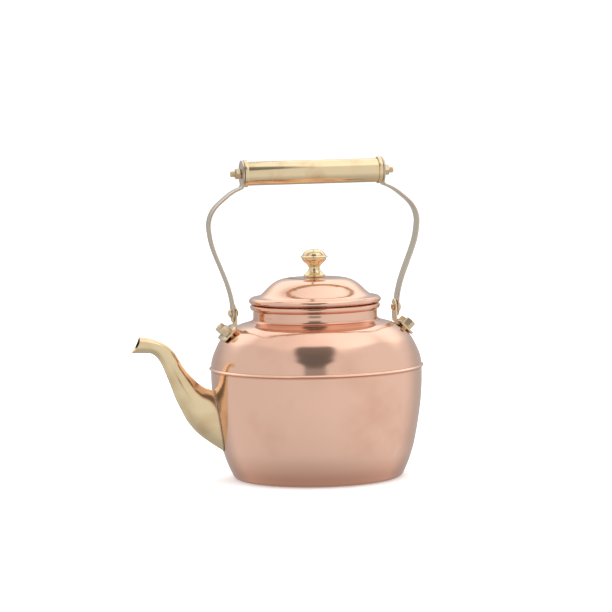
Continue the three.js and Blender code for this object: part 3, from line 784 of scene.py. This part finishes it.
SPOUT_ROUND, SPOUT_LONG = 72, 120
points, faces = [], []
skins = []
for inset in (0.0, SHEET):
    skins.append(len(points))
    starts = [root_share(2 * math.pi * i / SPOUT_ROUND, inset) for i in range(SPOUT_ROUND)]
    for k in range(SPOUT_LONG + 1):
        for i in range(SPOUT_ROUND):
            s = starts[i] + (1 - starts[i]) * k / SPOUT_LONG
            points.append(on_spout(s, 2 * math.pi * i / SPOUT_ROUND, inset))
for skin, flip in zip(skins, (False, True)):
    for k in range(SPOUT_LONG):
        for i in range(SPOUT_ROUND):
            a = skin + k * SPOUT_ROUND + i
            b = skin + k * SPOUT_ROUND + (i + 1) % SPOUT_ROUND
            face = (a, b, b + SPOUT_ROUND, a + SPOUT_ROUND)
            faces.append(face[::-1] if flip else face)
for k, flip in ((0, True), (SPOUT_LONG, False)):
    for i in range(SPOUT_ROUND):
        j = (i + 1) % SPOUT_ROUND
        outer = skins[0] + k * SPOUT_ROUND
        inner = skins[1] + k * SPOUT_ROUND
        face = (outer + i, outer + j, inner + j, inner + i)
        faces.append(face[::-1] if flip else face)
spout = new_piece("spout_shell", points, faces, crease=50)
finish_piece(spout, "kettle", "brass_spout", [spout_brass], "spout")

# Solder drawn round the root, half sunk between spout and bowl.
run_points, run_faces = [], []
RUN_SIDES, RUN_RADIUS = 8, 0.55
root_line = []
for i in range(SPOUT_ROUND):
    t = 2 * math.pi * i / SPOUT_ROUND
    root_line.append(on_spout(root_share(t, 0.0) + 0.001, t, 0.0))
for i, spot in enumerate(root_line):
    ahead = (root_line[(i + 1) % SPOUT_ROUND] - root_line[i - 1]).normalized()
    away = Vector((spot.x, spot.y, 0)).normalized()
    across = ahead.cross(away).normalized()
    away = across.cross(ahead).normalized()
    for k in range(RUN_SIDES):
        a = 2 * math.pi * k / RUN_SIDES
        run_points.append(spot + (away * math.cos(a) + across * math.sin(a)) * RUN_RADIUS)
for i in range(SPOUT_ROUND):
    for k in range(RUN_SIDES):
        a = i * RUN_SIDES + k
        b = i * RUN_SIDES + (k + 1) % RUN_SIDES
        step = RUN_SIDES if i < SPOUT_ROUND - 1 else -i * RUN_SIDES
        run_faces.append((a, a + step, b + step, b))
solder_run = new_piece("spout_solder", run_points, run_faces)
finish_piece(solder_run, "kettle", "brass_spout", [solder])

# ---- ears, bolts and rivets -----------------------------------------------------
SLOPE = math.radians(46)
DOWN = Vector((math.cos(SLOPE), -math.sin(SLOPE)))
OUT = Vector((math.sin(SLOPE), math.cos(SLOPE)))
EAR_THICKNESS, EAR_LENGTH, EAR_HALF_WIDTH, TAB_HALF_WIDTH = 1.6, 15.5, 14.5, 6.6
BEND = 2.2
ear_low, ear_high = box("ear_back")
tab_x = ear_low.x + EAR_THICKNESS / 2
pivot_tip = ear_high.z
# The lowest point of the plate's middle line, found from the ear's own corners.
plate_low = Vector((
    ear_high.x - OUT.x * EAR_THICKNESS / 2,
    ear_low.z + OUT.y * EAR_THICKNESS / 2,
))


def rounded_end(d, radius, full):
    return full if d >= radius else max(0.7, full * math.sqrt(max(0.0, 1 - (1 - d / radius) ** 2)))


def ear_stations():
    corner, fine = 3.2, 0.2
    flare = EAR_HALF_WIDTH - TAB_HALF_WIDTH
    stations = []
    d = 0.0
    while d < EAR_LENGTH:
        w = EAR_HALF_WIDTH - corner + rounded_end(d, corner, corner)
        left = EAR_LENGTH - d
        if left < corner:
            w = TAB_HALF_WIDTH + 0.5 + (flare - 0.5) * math.sqrt(max(0.0, 1 - (1 - left / corner) ** 2))
        p = plate_low - DOWN * d
        stations.append(((p.x, p.y), (OUT.x, OUT.y), w))
        d += fine if d < corner or left < corner + fine else 1.0
    start = plate_low - DOWN * EAR_LENGTH
    centre = start + OUT * BEND
    for i in range(13):
        a = SLOPE + (math.pi / 2 - SLOPE) * i / 12
        n = Vector((math.sin(a), math.cos(a)))
        p = centre - n * BEND
        stations.append(((p.x, p.y), (n.x, n.y), TAB_HALF_WIDTH))
    x = stations[-1][0][0]
    low = stations[-1][0][1]
    steps = 24
    for i in range(1, steps + 1):
        z = low + (pivot_tip - low) * math.sin(math.pi / 2 * i / steps)
        w = rounded_end(pivot_tip - z, TAB_HALF_WIDTH, TAB_HALF_WIDTH)
        stations.append(((x, z), (1, 0), w))
    return stations


strap_high = box("handle_strap_back")[1]
STRAP_THICKNESS, STRAP_HALF_WIDTH = 1.5, 7.0
disc_radius = strap_high.y
disc_x = box("grip_cap_back")[1].x + GAP + STRAP_THICKNESS / 2
strap_foot = tab_x + EAR_THICKNESS / 2 + GAP + STRAP_THICKNESS / 2
# The bow stays a hair inside the CAD strap's box.
BOW_INSET = 0.15
bow = strap_high.x - STRAP_THICKNESS / 2 - BOW_INSET
strap_span = grip_height - pivot_height


def strap_stations():
    def low_part(u, f):
        return (strap_foot + f * (bow - strap_foot), pivot_height + u * strap_span)

    def high_part(u, f):
        return (disc_x + f * (bow - disc_x), pivot_height + u * strap_span)

    path = eased(
        [
            (strap_foot, pivot_height + 5),
            low_part(0.087, 0.026),
            low_part(0.174, 0.15),
            low_part(0.256, 0.324),
            low_part(0.342, 0.533),
            low_part(0.429, 0.747),
            low_part(0.507, 0.9),
            low_part(0.589, 0.987),
            low_part(0.648, 1),
            high_part(0.712, 0.932),
            high_part(0.763, 0.801),
            high_part(0.815, 0.578),
            high_part(0.862, 0.338),
            high_part(0.886, 0.16),
            high_part(0.8985, 0.043),
            (disc_x, grip_height - disc_radius + 1.2),
        ],
        8,
    )
    stations = []
    foot_steps, foot_run = 18, 4.5
    for i in range(foot_steps + 1):
        e = (STRAP_HALF_WIDTH + foot_run) * (1 - math.cos(math.pi / 2 * i / foot_steps))
        w = rounded_end(e, STRAP_HALF_WIDTH, STRAP_HALF_WIDTH)
        stations.append(((strap_foot, pivot_height - STRAP_HALF_WIDTH + e), (1, 0), w))
    for i, (x, z) in enumerate(path):
        x0, z0 = path[max(0, i - 1)]
        x1, z1 = path[min(len(path) - 1, i + 1)]
        length = math.hypot(x1 - x0, z1 - z0)
        stations.append(((x, z), ((z1 - z0) / length, -(x1 - x0) / length), STRAP_HALF_WIDTH))
    for i in range(33):
        a = math.radians(130 * (1 - i / 32))
        w = max(0.7, disc_radius * math.sin(a))
        z = grip_height + disc_radius * math.cos(a)
        stations.append(((disc_x, z), (1, 0), w))
    return stations


NUT_ACROSS, NUT_HEIGHT, BOLT_RADIUS = 7.6, 6.0, 2.0
nut_foot = EAR_THICKNESS + GAP
nut_middle = nut_foot + NUT_HEIGHT / 2
# Row "left" of the back ear stands at plus Y, and the spout side is its half turn.
bolt_y = (box("ear_nut_back_left")[0].y + box("ear_nut_back_left")[1].y) / 2


def on_ear(y):
    """Places a shape whose Z is the bolt's axis, measured from the shoulder's face."""
    low, high = box("ear_nut_back_left")
    middle = Vector(((low.x + high.x) / 2, y, (low.z + high.z) / 2))
    foot = middle - Vector((OUT.x, 0, OUT.y)) * nut_middle
    return Matrix.Translation(foot) @ Matrix.Rotation(SLOPE, 4, "Y")


bolt_low, bolt_high = box("ear_bolt_back_left")
BOLT_END, BOLT_BEVEL = 0.4, 0.6
HEAD_FACE_RADIUS, HEAD_RADIUS, HEAD_HEIGHT = 3.2, 4.0, 1.8
bolt_top = nut_foot + NUT_HEIGHT + BOLT_END
inner_head_low = bolt_top - (
    (bolt_high.z - bolt_low.z) - (BOLT_RADIUS - BOLT_BEVEL + HEAD_FACE_RADIUS) * math.sin(SLOPE)
) / math.cos(SLOPE)


def bolt_shell():
    head = turned_shell(
        softened([
            (0, inner_head_low),
            (HEAD_FACE_RADIUS, inner_head_low),
            (HEAD_RADIUS, inner_head_low + 1.0),
            (HEAD_RADIUS, inner_head_low + HEAD_HEIGHT),
            (BOLT_RADIUS, inner_head_low + HEAD_HEIGHT),
            (BOLT_RADIUS, nut_foot),
            (0, nut_foot),
        ], 0.2),
        SMALL_ROUND,
    )
    return joined(head[:2], threaded_end(BOLT_RADIUS, nut_foot + 0.01, bolt_top))


RIVET_HEAD_RADIUS, RIVET_TAIL_RADIUS, SHANK_RADIUS = 3.6, 3.0, 2.0


def rivet_shell():
    x0, x1 = rivet_low.x, rivet_high.x
    tail_end = tab_x - EAR_THICKNESS / 2 - GAP
    head_start = strap_foot + STRAP_THICKNESS / 2 + GAP
    dome = [
        (RIVET_HEAD_RADIUS * math.cos(a), head_start + (x1 - head_start) * math.sin(a))
        for a in (math.pi / 2 * k / 14 for k in range(15))
    ]
    tail = [
        (RIVET_TAIL_RADIUS * math.sin(a), tail_end - (tail_end - x0) * math.cos(a) ** 0.8)
        for a in (math.pi / 2 * k / 10 for k in range(11))
    ]
    dome[-1] = (0, x1)
    tail[0] = (0, x0)
    shank = [(SHANK_RADIUS, tail_end + 0.01), (SHANK_RADIUS, head_start - 0.01)]
    outline = [*tail, *shank, *dome]
    points, faces, _ = turned_shell(outline, SMALL_ROUND)
    return placed(placed(points, ALONG_X), Matrix.Translation((0, 0, pivot_height))), faces


# ---- grip -------------------------------------------------------------------------
cap_low, cap_high = box("grip_cap_back")
cap_radius = cap_high.y
cap_front, cap_back = cap_low.x, cap_high.x
rod_high = box("grip_rod")[1]
ROD_RADIUS, CAP_LIP = 2.5, 2
nut_low, nut_high = box("rod_nut_back")
ROD_NUT_ACROSS = 8.0
on_grip = Matrix.Translation((0, 0, grip_height)) @ ALONG_X


def cap_shell():
    outline = softened([
        (ROD_RADIUS + GAP, cap_front + CAP_LIP),
        (grip_radius + GAP, cap_front + CAP_LIP),
        (grip_radius + GAP, cap_front),
        (cap_radius, cap_front),
        (cap_radius, cap_back),
        (ROD_RADIUS + GAP, cap_back),
    ], 0.45, 4)
    points, faces, _ = turned_shell(outline, 96)
    return placed(points, on_grip), faces


def rod_shell():
    left = threaded_end(ROD_RADIUS, nut_low.x - 1.0, rod_high.x)
    core = turned_shell([
        (0, -nut_low.x + 0.99),
        (ROD_RADIUS - 0.02, -nut_low.x + 0.99),
        (ROD_RADIUS - 0.02, nut_low.x - 0.99),
        (0, nut_low.x - 0.99),
    ], SMALL_ROUND)
    other = (placed(left[0], Matrix.Rotation(math.pi, 4, "X")), left[1])
    points, faces = joined(core[:2], left, other)
    return placed(points, on_grip), faces


ear_points, ear_faces, ear_along = swept_strip(ear_stations(), EAR_THICKNESS)
strap_points, strap_faces, strap_along = swept_strip(strap_stations(), STRAP_THICKNESS)
bolt_points, bolt_faces = bolt_shell()
nut_points, nut_faces = hexagon(NUT_ACROSS, nut_foot, nut_foot + NUT_HEIGHT, BOLT_RADIUS + 0.05)
rod_nut_points, rod_nut_faces = hexagon(ROD_NUT_ACROSS, nut_low.x, nut_high.x, ROD_RADIUS + 0.05)
rivet_points, rivet_faces = rivet_shell()
cap_points, cap_faces = cap_shell()

for end, turn in (("back", Matrix.Identity(4)), ("spout", HALF_TURN)):
    piece = new_piece(f"ear_plate_{end}", placed(ear_points, turn), ear_faces, along=ear_along)
    finish_piece(piece, "kettle", "brass_fixings", [fixing_brass], f"ear_{end}")
    for row, y in (("left", bolt_y), ("right", -bolt_y)):
        stand = turn @ on_ear(y)
        piece = new_piece(f"bolt_{end}_{row}", placed(bolt_points, stand), bolt_faces)
        finish_piece(piece, "kettle", "brass_fixings", [fixing_brass], f"ear_bolt_{end}_{row}")
        piece = new_piece(f"nut_{end}_{row}", placed(nut_points, stand), nut_faces, crease=25)
        finish_piece(piece, "kettle", "brass_fixings", [fixing_brass], f"ear_nut_{end}_{row}")
    piece = new_piece(f"rivet_{end}", placed(rivet_points, turn), rivet_faces)
    finish_piece(piece, "kettle", "brass_fixings", [fixing_brass], f"pivot_rivet_{end}")
    piece = new_piece(f"strap_{end}", placed(strap_points, turn), strap_faces, along=strap_along)
    finish_piece(piece, "handle", "brass_strap", [strap_brass], f"handle_strap_{end}")
    piece = new_piece(f"cap_{end}", placed(cap_points, turn), cap_faces)
    finish_piece(piece, "handle", "brass_grip", [grip_brass], f"grip_cap_{end}")
    piece = new_piece(
        f"end_nut_{end}", placed(placed(rod_nut_points, on_grip), turn), rod_nut_faces, crease=25
    )
    finish_piece(piece, "handle", "brass_fixings", [fixing_brass], f"rod_nut_{end}")

tube_end = grip_high.x
tube_outline = softened([
    (grip_radius - 1, -tube_end),
    (grip_radius, -tube_end),
    (grip_radius, tube_end),
    (grip_radius - 1, tube_end),
], 0.25)
points, faces, _ = turned_shell(tube_outline, 128)
tube = new_piece("grip_sleeve", placed(points, on_grip), faces)
finish_piece(tube, "handle", "brass_grip", [grip_brass], "grip_tube")
points, faces = rod_shell()
rod = new_piece("grip_through_rod", points, faces)
finish_piece(rod, "handle", "brass_fixings", [fixing_brass], "grip_rod")

# ---- lid ----------------------------------------------------------------------------
lid_rise = lid_top - lid_seat


def on_lid(f, h):
    return (f * lid_radius, lid_top - (1 - h) * lid_rise)


SCREW_HOLE = 2.3
crown = eased(
    [
        (SCREW_HOLE, lid_top),
        on_lid(0.19, 1),
        on_lid(0.305, 0.998),
        on_lid(0.4, 0.985),
        on_lid(0.48, 0.955),
        on_lid(0.545, 0.905),
        on_lid(0.61, 0.82),
        on_lid(0.67, 0.71),
        on_lid(0.715, 0.605),
        on_lid(0.77, 0.46),
        on_lid(0.811, 0.365),
        on_lid(0.85, 0.297),
        on_lid(0.907, 0.255),
        on_lid(0.964, 0.235),
        (lid_radius - 0.6, lid_seat + 3.7),
    ],
    6,
)
rolled_rim = eased(
    [
        (lid_radius - 0.6, lid_seat + 3.7),
        (lid_radius, lid_seat + 2.5),
        (lid_radius - 0.3, lid_seat + 1.1),
        (lid_radius - 1.4, lid_seat + 0.2),
        (lid_radius - 3.2, lid_seat),
        (lid_radius - 4.1, lid_seat),
    ],
    4,
)
lid_under = [p for p in inward(crown, -SHEET) if p[0] < lid_radius - 2.4]
under_fold = [
    (lid_radius - 4.1, lid_seat + SHEET),
    (lid_radius - 3.2, lid_seat + SHEET),
    (lid_radius - 1.8, lid_seat + 1.2),
    (lid_radius - 1.1, lid_seat + 2.2),
    (lid_radius - 1.3, lid_seat + 2.9),
]
under = [*under_fold, *lid_under[::-1]]
points, faces, lined = turned_shell(
    [*crown, *rolled_rim[1:], *under],
    ROUND,
    lambda a, b: (a in under) and (b in under),
)
lid = new_piece("lid_dome", points, faces, lined)
finish_piece(lid, "lid", "copper_lid", [copper_lid, tin], "lid_shell")

collar_low, collar_high = box("lid_collar")
collar_radius = collar_high.x
points, faces, _ = turned_shell(
    softened([
        (collar_radius - 1, collar_high.z),
        (collar_radius - 1, collar_low.z),
        (collar_radius, collar_low.z),
        (collar_radius, collar_high.z),
    ], 0.3),
    ROUND,
)
collar = new_piece("lid_inner_collar", points, faces)
finish_piece(collar, "lid", "tinned_copper", [tin], "lid_collar")

knob_low, knob_high = box("lid_knob")
knob_height = knob_high.z - knob_low.z
KNOB_FOOT, KNOB_WAIST, KNOB_RADIUS = 8.6, 4.4, knob_high.x


def on_knob(r, h):
    return (r, knob_low.z + h * knob_height)


knob_outline = [
    on_knob(SCREW_HOLE, 0),
    on_knob(KNOB_FOOT - 0.4, 0),
    *eased([
        on_knob(KNOB_FOOT, 0.02),
        on_knob(KNOB_FOOT, 0.07),
        on_knob(KNOB_FOOT - 0.5, 0.09),
    ], 3),
    *eased([
        on_knob(KNOB_FOOT - 1.0, 0.1),
        on_knob(KNOB_WAIST + 2.2, 0.145),
        on_knob(KNOB_WAIST + 0.8, 0.23),
        on_knob(KNOB_WAIST, 0.31),
        on_knob(KNOB_WAIST, 0.36),
    ], 6),
    *eased([
        on_knob(KNOB_WAIST + 0.5, 0.37),
        on_knob(KNOB_WAIST + 0.75, 0.385),
        on_knob(KNOB_WAIST + 0.5, 0.4),
    ], 3),
    *eased([
        on_knob(KNOB_WAIST + 0.8, 0.41),
        on_knob(KNOB_RADIUS * 0.56, 0.46),
        on_knob(KNOB_RADIUS * 0.76, 0.55),
        on_knob(KNOB_RADIUS * 0.88, 0.635),
        on_knob(KNOB_RADIUS * 0.9, 0.685),
    ], 6),
    *eased([
        on_knob(KNOB_RADIUS * 0.93, 0.70),
        on_knob(KNOB_RADIUS - 0.1, 0.715),
        on_knob(KNOB_RADIUS, 0.725),
        on_knob(KNOB_RADIUS - 0.1, 0.735),
        on_knob(KNOB_RADIUS * 0.93, 0.75),
    ], 3),
    *eased([
        on_knob(KNOB_RADIUS * 0.87, 0.765),
        on_knob(KNOB_RADIUS * 0.81, 0.82),
        on_knob(KNOB_RADIUS * 0.67, 0.905),
        on_knob(KNOB_RADIUS * 0.41, 0.97),
        on_knob(KNOB_RADIUS * 0.15, 0.997),
        on_knob(0, 1),
    ], 6),
    (0, knob_low.z + 9),
    (SCREW_HOLE, knob_low.z + 8),
]
points, faces, _ = turned_shell(knob_outline, 96)
knob = new_piece("knob", points, faces, crease=30)
finish_piece(knob, "lid", "brass_knob", [knob_brass], "lid_knob")

# Small inner pieces keep their own shape and take the fixings' brass.
for name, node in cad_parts.items():
    if "washer" in name or name == "lid_knob_screw":
        node.data.materials.clear()
        node.data.materials.append(fixing_brass)

# ---- floor, light and camera ----------------------------------------------------------
floor_mesh = bpy.data.meshes.new("floor")
FLOOR_REACH, FLOOR_HEIGHT = 8.0, -0.0002
floor_corners = [
    (x * FLOOR_REACH, y * FLOOR_REACH, FLOOR_HEIGHT) for x, y in ((-1, -1), (1, -1), (1, 1), (-1, 1))
]
floor_mesh.from_pydata(floor_corners, [], [(0, 1, 2, 3)])
floor = bpy.data.objects.new("floor", floor_mesh)
bpy.context.scene.collection.objects.link(floor)
floor.visible_glossy = False
paper = bpy.data.materials.new("white_paper")
paper.use_nodes = True
paper_shader = paper.node_tree.nodes["Principled BSDF"]
paper_shader.inputs["Base Color"].default_value = (0.92, 0.92, 0.92, 1)
paper_shader.inputs["Roughness"].default_value = 0.9
paper_shader.inputs["Specular IOR Level"].default_value = 0.1
paper_shader.inputs["Emission Color"].default_value = (1, 1, 1, 1)
paper_shader.inputs["Emission Strength"].default_value = 0.35
floor_mesh.materials.append(paper)

ANGLE = math.radians(12.5)
TO_VIEWER = Vector((-math.sin(ANGLE), -math.cos(ANGLE), 0))
TO_RIGHT = Vector((math.cos(ANGLE), -math.sin(ANGLE), 0))


def white_tent():
    """A white tent: even grey walls, a brighter roof to the right and high behind,
    and a dark gap between the front cloths that widens toward the top."""
    world = bpy.data.worlds.new("white_tent")
    bpy.context.scene.world = world
    world.use_nodes = True
    tree = world.node_tree
    wiring = Wiring(tree)
    maths, span = wiring.sum, wiring.span
    aim = wiring.node("ShaderNodeTexCoord").outputs["Generated"]

    def toward(direction):
        made = wiring.node("ShaderNodeVectorMath", operation="DOT_PRODUCT")
        wiring.feed(made.inputs[0], aim)
        wiring.feed(made.inputs[1], direction)
        return made.outputs["Value"]

    up = toward((0, 0, 1))
    front = toward(TO_VIEWER)
    right = toward(TO_RIGHT)
    # Walls: grey low behind the kettle, a little lighter on the right.
    walls = maths("MULTIPLY_ADD", right, 0.05, 0.77)
    low_back = maths("MULTIPLY", span(front, -0.35, -0.85, 0.0, 1.0), span(up, 0.4, 0.1, 0.0, 1.0))
    walls = maths("MULTIPLY_ADD", low_back, -0.27, walls)
    # Roof: two broad soft lights, the right one stronger, and one high behind.
    above = span(up, 0.66, 0.84, 0.0, 1.0)
    roof = maths("MULTIPLY", above, maths("MULTIPLY_ADD", right, 0.32, 0.33))
    high_back = maths("MULTIPLY", span(front, -0.2, -0.6, 0.0, 1.0), span(up, 0.3, 0.55, 0.0, 1.0))
    roof = maths("MAXIMUM", roof, maths("MULTIPLY", high_back, 0.5))
    ground = span(up, -0.95, -0.3, -0.28, 0.0)
    light = maths("ADD", maths("ADD", walls, roof), ground)
    # Dark gap between the front cloths: narrow below, flaring toward the roof.
    off_centre = maths("ABSOLUTE", maths("ADD", right, 0.02))
    aside = maths("DIVIDE", off_centre, maths("MAXIMUM", front, 0.02))
    half_gap = span(up, 0.4, 0.86, 0.2, 0.62)
    gap = span(aside, maths("MULTIPLY", half_gap, 0.8), maths("MULTIPLY", half_gap, 1.25), 1.0, 0.0)
    depth = maths("MULTIPLY", span(up, 0.25, 0.5, 0.55, 0.8), span(up, 0.86, 0.985, 1.0, 0.0))
    depth = maths("MULTIPLY", depth, span(up, -0.1, 0.0, 0.0, 1.0))
    light = maths("MULTIPLY", light, maths("SUBTRACT", 1.0, maths("MULTIPLY", gap, depth)))
    background = tree.nodes["Background"]
    background.inputs["Color"].default_value = (1.0, 0.99, 0.975, 1)
    wiring.feed(background.inputs["Strength"], light)
    seen = wiring.node("ShaderNodeBackground")
    seen.inputs["Color"].default_value = (1.0, 1.0, 1.0, 1)
    seen.inputs["Strength"].default_value = 1.05
    choose = wiring.node("ShaderNodeMixShader")
    wiring.feed(choose.inputs["Fac"], wiring.node("ShaderNodeLightPath").outputs["Is Camera Ray"])
    wiring.feed(choose.inputs[1], background.outputs[0])
    wiring.feed(choose.inputs[2], seen.outputs[0])
    wiring.feed(tree.nodes["World Output"].inputs["Surface"], choose.outputs[0])


white_tent()


def soft_light(name, place, size, power, shiny):
    light = bpy.data.lights.new(name, "AREA")
    light.shape = "DISK"
    light.size = size
    light.energy = power
    lamp = bpy.data.objects.new(name, light)
    bpy.context.scene.collection.objects.link(lamp)
    lamp.location = place
    aim = Vector((0, 0, 0.1)) - Vector(place)
    lamp.rotation_euler = aim.to_track_quat("-Z", "Y").to_euler()
    lamp.visible_glossy = shiny
    return lamp


soft_light("overhead", (0.0, 0.0, 2.4), 2.6, 42.0, False)

# Metres: how far off and how high the camera stands, and the point it looks at.
CAMERA_DISTANCE, CAMERA_HEIGHT, LENS = 2.2, 0.3204, 163.66
AIM_RIGHT, AIM_HEIGHT = -0.00715, 0.1359
CAMERA_ROLL = math.radians(-1.2)
camera_data = bpy.data.cameras.new("camera")
camera = bpy.data.objects.new("camera", camera_data)
bpy.context.scene.collection.objects.link(camera)
bpy.context.scene.camera = camera
camera_data.sensor_width = 36.0
camera_data.lens = LENS
camera_data.clip_start, camera_data.clip_end = 0.05, 60.0
camera.location = TO_VIEWER * CAMERA_DISTANCE + Vector((0, 0, CAMERA_HEIGHT))
aim_point = TO_RIGHT * AIM_RIGHT + Vector((0, 0, AIM_HEIGHT))
look = (aim_point - camera.location).to_track_quat("-Z", "Y").to_matrix()
camera.rotation_euler = (look @ Matrix.Rotation(CAMERA_ROLL, 3, "Z")).to_euler()

view = bpy.context.scene.view_settings
view.view_transform = "Standard"
view.look = "None"
view.exposure = 0.0
view.gamma = 1.0
